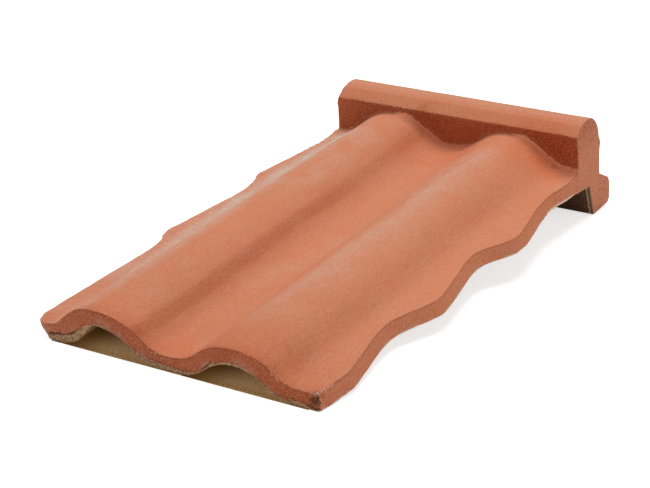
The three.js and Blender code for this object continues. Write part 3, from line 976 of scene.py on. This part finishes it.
# %% Streaks, bloom and flecks
STREAK = (0.74, 0.38, 0.26, 1)
BLOOM_AND_SHEEN = (0.64, 0.605, 0.525, 1)
PALE_FLECK, DARK_FLECK = (0.95, 0.40, 0.24, 1), (0.30, 0.08, 0.03, 1)
PALE_MOTTLE, DARK_MOTTLE = (0.75, 0.42, 0.28, 1), (0.15, 0.03, 0.01, 1)


def two_ways(tree, colour, value, lift, fall, pale, dark):
    """Mixes in a pale colour where the value is above nothing, and a dark one below it."""
    lifted = maths(tree, "MAXIMUM", product(tree, value, lift), 0.0)
    fallen = maths(tree, "MAXIMUM", product(tree, value, fall), 0.0)
    colour = mixed(tree, lifted, colour, pale)
    return mixed(tree, fallen, colour, dark)


lying = ramped(tree, mask(tree, "upright"), 0.0, 0.3, 1.0, 0.0)
streak = product(tree, ramped(tree, noises["Drawn"], 0.52, 0.75, 0.0, 0.13), lying)
colour = mixed(tree, streak, colour, STREAK)
# bloom and painted sheen
haze = product(tree, mask(tree, "bloom_and_sheen"), ramped(tree, noises["Fleck"], 0.3, 0.7, 0.7, 1.3))
colour = mixed(tree, haze, colour, BLOOM_AND_SHEEN)
for title, first in (("Fleck", 0.3), ("Dot", 0.32)):
    shade = ramped(tree, noises[title], first, 0.7, -1.0, 1.0)
    colour = two_ways(tree, colour, shade, 0.045, -0.045, PALE_FLECK, DARK_FLECK)
mottle = product(tree, mask(tree, "upright"), ramped(tree, noises["Dot"], 0.32, 0.7, -1.0, 1.0))
colour = two_ways(tree, colour, mottle, 0.13, -0.20, PALE_MOTTLE, DARK_MOTTLE)
print("nodes so far:", len(tree.nodes))

# %% [markdown]
# Above the arches the eaves face is worn pink. Raw clay is sandy: two tans mixed by fine dots.
# The border of the strip wanders with the flecks, and the crevice's painted shadow is a dark line
# just above the border, so both read the same ragged distance.

# %% Raw clay
WORN_PINK = (0.62, 0.29, 0.19, 1)
SAND_DARK, SAND_PALE = (0.29, 0.16, 0.065, 1), (0.64, 0.41, 0.225, 1)
CREVICE_SHADOW = (0.045, 0.015, 0.006, 1)
NIB_SHADE = (0.045, 0.022, 0.007, 1)
NIB_EDGE, NIB_SIDE = (0.74, 0.60, 0.38, 1), (0.34, 0.20, 0.10, 1)


def ragged(tree, name, reach):
    """A distance on the tile, made uneven by up to the reach either way."""
    return maths(tree, "ADD", mask(tree, name),
                 ramped(tree, noises["Fleck"], 0.3, 0.7, -reach, reach))


worn = product(tree, ramped(tree, mask(tree, "above_arch"), 3.0, 7.5, 1.0, 0.0),
               ramped(tree, noises["Patch"], 0.42, 0.62, 0.0, 0.65))
colour = mixed(tree, worn, colour, WORN_PINK)
above_foot = ragged(tree, "above_eaves_foot", 0.45)
strip = ramped(tree, above_foot, -0.25, 0.25, 1.0, 0.0)
raw_clay = mixed(tree, ramped(tree, noises["Dot"], 0.38, 0.62), SAND_DARK, SAND_PALE)
colour = mixed(tree, maths(tree, "MAXIMUM", mask(tree, "bare"), strip), colour, raw_clay)
# painted shadow of a crevice under the red lip
crevice_shadow = product(tree, ramped(tree, above_foot, -0.3, 0.1),
                ramped(tree, above_foot, 1.0, 2.0, 1.0, 0.0), mask(tree, "crevice"),
                ramped(tree, noises["Patch"], 0.38, 0.55, 0.4, 0.95))
colour = mixed(tree, crevice_shadow, colour, CREVICE_SHADOW)
# painted shade on the front of the nib
colour = mixed(tree, mask(tree, "nib_shade"), colour, NIB_SHADE)
nib_end = ragged(tree, "from_nib_end", 0.5)
nib_edge = product(tree, ramped(tree, nib_end, 1.4, 1.8),
                   ramped(tree, nib_end, 2.6, 3.2, 1.0, 0.0))
colour = mixed(tree, nib_edge, colour, NIB_EDGE)
colour = mixed(tree, ramped(tree, nib_end, 1.0, 1.5, 0.7, 0.0), colour, NIB_SIDE)
print("nodes so far:", len(tree.nodes))

# %% [markdown]
# Thin lines follow the arrises: dark ones just under the top arrises, pale ones along the foot of
# the side face, and a few pale nicks. Each line is a ramp on its distance, times a noise that
# breaks it.

# %% Lines along the arrises
ARRIS_LINE, NICK = (0.22, 0.045, 0.015, 1), (0.78, 0.42, 0.28, 1)
SIDE_LINE, SIDE_FOOT = (0.22, 0.06, 0.03, 1), (0.72, 0.50, 0.36, 1)
HAUNCH_FOOT, EDGE_GLINT = (0.84, 0.66, 0.50, 1), (0.86, 0.50, 0.34, 1)

arris_line = product(tree, ramped(tree, ragged(tree, "below_eaves_arris", 0.4), 0.3, 1.2, 0.4, 0.0),
                     ramped(tree, noises["Patch"], 0.4, 0.6, 0.3, 1.0))
colour = mixed(tree, arris_line, colour, ARRIS_LINE)
nick = product(tree, ramped(tree, noises["Dot"], 0.54, 0.60), mask(tree, "nicked"),
               ramped(tree, mask(tree, "below_eaves_arris"), 1.6, 2.6, 1.0, 0.0))
colour = mixed(tree, nick, colour, NICK)
side_line = ramped(tree, mask(tree, "below_side_arris"), 0.4, 1.5, 0.28, 0.0)
colour = mixed(tree, side_line, colour, SIDE_LINE)
side_foot = product(tree, ramped(tree, mask(tree, "above_side_foot"), 0.6, 1.5, 0.55, 0.0),
                    ramped(tree, noises["Patch"], 0.42, 0.58))
colour = mixed(tree, side_foot, colour, SIDE_FOOT)
haunch_foot = ramped(tree, mask(tree, "haunch_foot"), 0.9, 2.4, 0.75, 0.0)
colour = mixed(tree, haunch_foot, colour, HAUNCH_FOOT)
# painted glint along the right corner's edge
glint = product(tree, ramped(tree, mask(tree, "edge_glint"), 0.9, 1.6, 0.5, 0.0),
                ramped(tree, noises["Dot"], 0.42, 0.55))
colour = mixed(tree, glint, colour, EDGE_GLINT)
print("nodes so far:", len(tree.nodes))

# %% [markdown]
# Where the sheet meets the bar a band of painted shade runs along the crease, but in the thumbed
# cove the colour is lighter: painted light. The mould left a fine dark crease on the right roll,
# and chalk clings to the left part of the bar's arris.

# %% Crease and chalk
BAR_FOOT_SHADE, COVE_LIGHT = (0.40, 0.17, 0.11, 1), (0.80, 0.29, 0.165, 1)
CREASE_LINE, CHALK = (0.30, 0.12, 0.07, 1), (0.72, 0.42, 0.30, 1)

off_bar, cove_mask = mask(tree, "off_bar"), mask(tree, "in_cove")
# painted shade along the crease, and painted light in the cove
by_bar = ramped(tree, off_bar, -0.6, 0.3)
bar_foot_shade = product(tree, by_bar, ramped(tree, off_bar, 2.1, 4.6, 0.45, 0.0),
               maths(tree, "SUBTRACT", 1.0, cove_mask))
colour = mixed(tree, bar_foot_shade, colour, BAR_FOOT_SHADE)
cove_light = product(tree, by_bar, ramped(tree, off_bar, 1.0, 3.5, 0.9, 0.0), cove_mask)
colour = mixed(tree, cove_light, colour, COVE_LIGHT)
crease = ramped(tree, ragged(tree, "from_crease", 0.4), 0.3, 1.1, 0.28, 0.0)
colour = mixed(tree, crease, colour, CREASE_LINE)
from_arris = maths(tree, "ABSOLUTE", maths(tree, "ADD", mask(tree, "below_bar_arris"), -0.1))
chalk = product(tree, ramped(tree, from_arris, 0.3, 0.9, 0.7, 0.0),
                ramped(tree, noises["Dot"], 0.45, 0.58), mask(tree, "chalky"))
colour = mixed(tree, chalk, colour, CHALK)
print("nodes so far:", len(tree.nodes))

# %% [markdown]
# The broken right corner shows the inside of the clay: a pale flake on the arris and a dark
# hollow below it. The bar's ends are dotted with small dark pits, and grain lies over
# everything, a little stronger on the faces that look at the viewer.

# %% Right corner, pits and grain
PIT_DARK, PIT_PALE = (0.115, 0.037, 0.009, 1), (0.25, 0.095, 0.032, 1)
FLAKE_DARK, FLAKE_PALE = (0.34, 0.13, 0.09, 1), (0.66, 0.40, 0.30, 1)
SMALL_PIT = (0.22, 0.065, 0.05, 1)
PALE_GRAIN, DARK_GRAIN = (0.84, 0.47, 0.33, 1), (0.38, 0.06, 0.01, 1)

jag = ramped(tree, noises["Dot"], 0.3, 0.7, -1.0, 1.0)
two_tone = ramped(tree, noises["Fleck"], 0.4, 0.6)
pit = ramped(tree, maths(tree, "MULTIPLY_ADD", jag, 0.6, mask(tree, "pit")), -0.3, 1.9)
colour = mixed(tree, pit, colour, mixed(tree, two_tone, PIT_DARK, PIT_PALE))
flake = ramped(tree, maths(tree, "ADD", mask(tree, "flake"), jag), -0.1, 0.5)
colour = mixed(tree, flake, colour, mixed(tree, two_tone, FLAKE_DARK, FLAKE_PALE))
small_pits = product(tree, noises["Speck"], mask(tree, "pitted"),
                     ramped(tree, noises["Fleck"], 0.36, 0.46, 0.0, 0.85))
colour = mixed(tree, small_pits, colour, SMALL_PIT)
grain = ramped(tree, noises["Grain"], 0.25, 0.75, -1.0, 1.0)
coarse = ramped(tree, mask(tree, "upright"), 0.2, 1.0)
colour = two_ways(tree, colour, grain, maths(tree, "MULTIPLY_ADD", coarse, 0.03, 0.18),
                  maths(tree, "MULTIPLY_ADD", coarse, -0.15, -0.18), PALE_GRAIN, DARK_GRAIN)
join(tree, colour, shader.inputs["Base Color"])
print("nodes in the clay:", len(tree.nodes))

# %% [markdown]
# The grain can be felt as well as seen. Real relief that fine would take millions of faces, so a
# bump tilts the shading by flecks and grains instead.

# %% Relief
bump = node(tree, "Bump")
bump.inputs["Strength"].default_value = 0.35
bump.inputs["Distance"].default_value = 0.4 * MM
relief = maths(tree, "ADD", product(tree, noises["Fleck"], 1.2), noises["Grain"])
join(tree, relief, bump.inputs["Height"])
join(tree, bump.outputs[0], shader.inputs["Normal"])
net.materials.append(clay)
print("clay on", tile.name)

# %% [markdown]
# ## Raw board
# The board is sandy and rough, with dark grit along its front. It glows a little, a painted light,
# because hardly any light reaches under the arches, and the glow fades with depth. Near the left
# foot of each arch a painted shade covers it, and a second one darkens it further in, so the
# distance from that foot decides how much sand shows.

# %% Raw board
BOARD_DARK, BOARD_PALE = (0.155, 0.084, 0.030, 1), (0.275, 0.173, 0.088, 1)
GRIT, SHADE, INNER_SHADE = (0.10, 0.06, 0.02, 1), (0.075, 0.033, 0.008, 1), (0.10, 0.045, 0.012, 1)
LEFT_ARCH_FOOT, RIGHT_ARCH_FOOT, BETWEEN_ARCHES = -86, 14, 8          # mm

wood, tree, shader = new_material("raw board", 1, 0)
noises = clay_noises(tree)
sand = mixed(tree, ramped(tree, noises["Grain"], 0.35, 0.65), BOARD_DARK, BOARD_PALE)
parts = node(tree, "SeparateXYZ")
join(tree, node(tree, "TexCoord").outputs["Object"], parts.inputs[0])
depth = maths(tree, "MULTIPLY_ADD", parts.outputs["Y"], 1 / MM, -EAVES)
across_mm = maths(tree, "MULTIPLY", parts.outputs["X"], 1 / MM)
in_second = maths(tree, "GREATER_THAN", across_mm, BETWEEN_ARCHES)
arch_foot = maths(tree, "MULTIPLY_ADD", in_second, LEFT_ARCH_FOOT - RIGHT_ARCH_FOOT,
                  -LEFT_ARCH_FOOT)
from_foot = maths(tree, "MULTIPLY_ADD", depth, -0.25, maths(tree, "ADD", arch_foot, across_mm))
open_air = ramped(tree, from_foot, -4, 32)
grit = product(tree, ramped(tree, depth, 2, 9, 0.75, 0.0), ramped(tree, noises["Dot"], 0.42, 0.60))
sand = mixed(tree, grit, sand, GRIT)
# painted shade near the left foot of each arch
sand = mixed(tree, open_air, SHADE, sand)
# painted shade further in under the arches
sand = mixed(tree, ramped(tree, depth, 22, 50, 0.0, 0.6), sand, INNER_SHADE)
join(tree, sand, shader.inputs["Base Color"])
# painted glow that stands in for light, fading with depth
join(tree, sand, shader.inputs["Emission Color"])
join(tree, ramped(tree, depth, 0, 48, 0.97, 0.20), shader.inputs["Emission Strength"])
board.data.materials.append(wood)
print("materials:", [m.name for m in bpy.data.materials])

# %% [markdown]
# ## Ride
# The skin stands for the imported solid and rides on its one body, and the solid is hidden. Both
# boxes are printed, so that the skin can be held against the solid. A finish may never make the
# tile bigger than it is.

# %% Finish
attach(tile, "root")
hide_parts("roof_tile")
bpy.context.view_layer.update()
